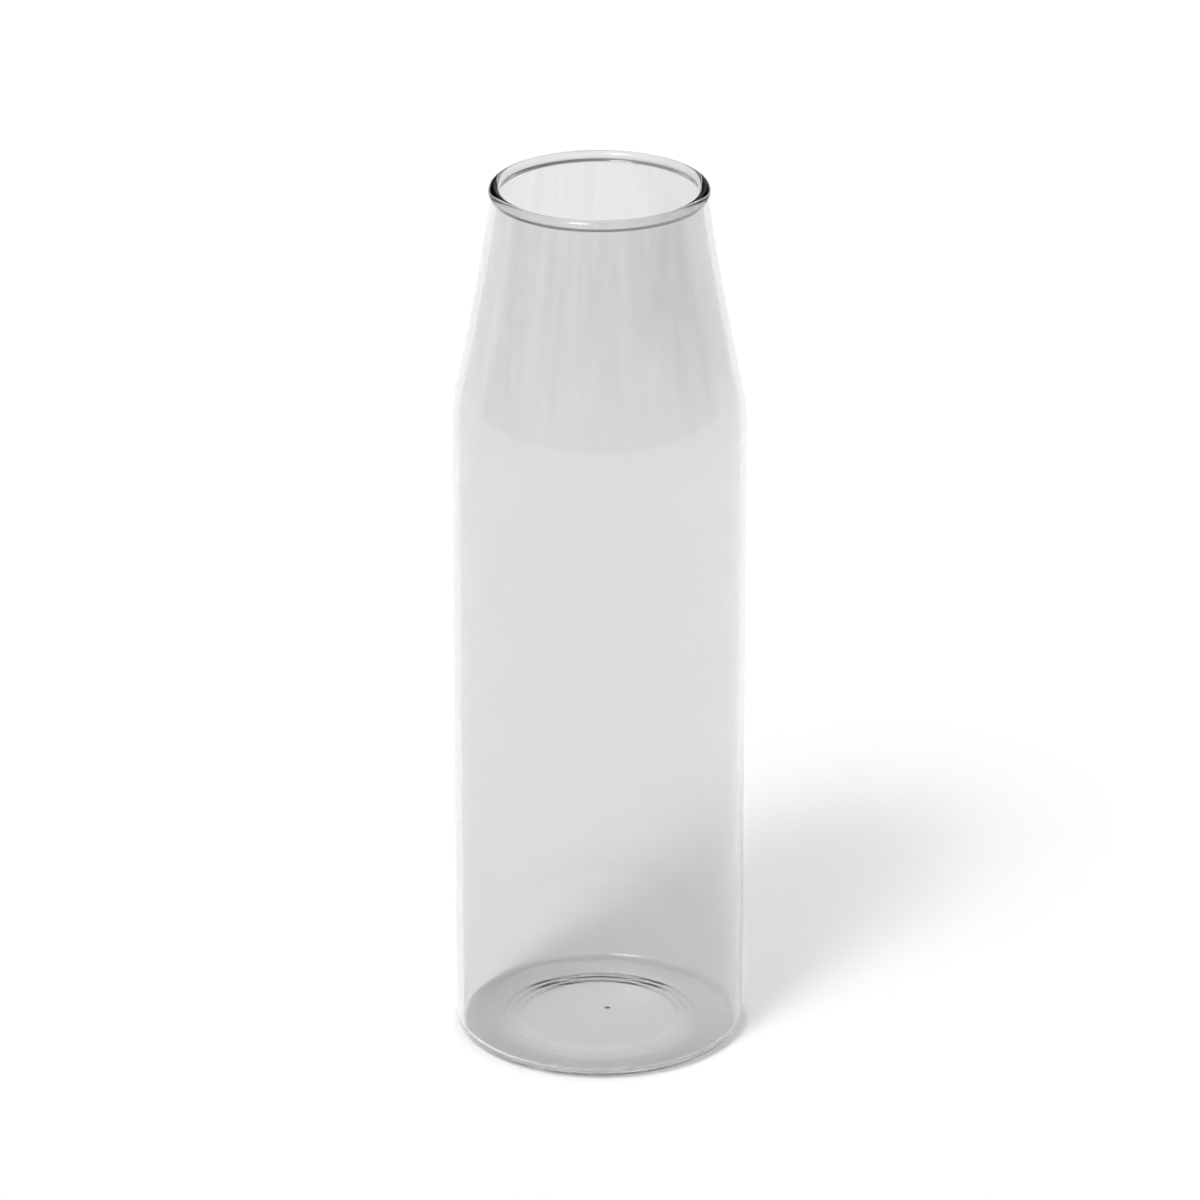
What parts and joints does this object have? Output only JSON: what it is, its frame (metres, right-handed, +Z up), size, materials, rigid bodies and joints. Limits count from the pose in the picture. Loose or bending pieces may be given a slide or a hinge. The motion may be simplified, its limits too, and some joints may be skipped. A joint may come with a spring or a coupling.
{
  "type": "water carafe",
  "caption": "Tall open glass water carafe with a straight body, a softly bent shoulder, a leaning neck with a beaded lip, and a thin base with a shallow hollow underneath.",
  "frame": {"origin": "centre of the ring that the carafe stands on, at table level", "axes": "+Z up along the axis of the vessel, +Y away from the camera of the picture"},
  "size_m": [0.085, 0.085, 0.2627],
  "materials": {
    "glass": "clear, very slightly grey, fire-polished"
  },
  "bodies": {
    "root": {"lip": "glass", "neck": "glass", "shoulder": "glass", "body": "glass", "heel": "glass", "base": "glass"}
  },
  "joints": []
}
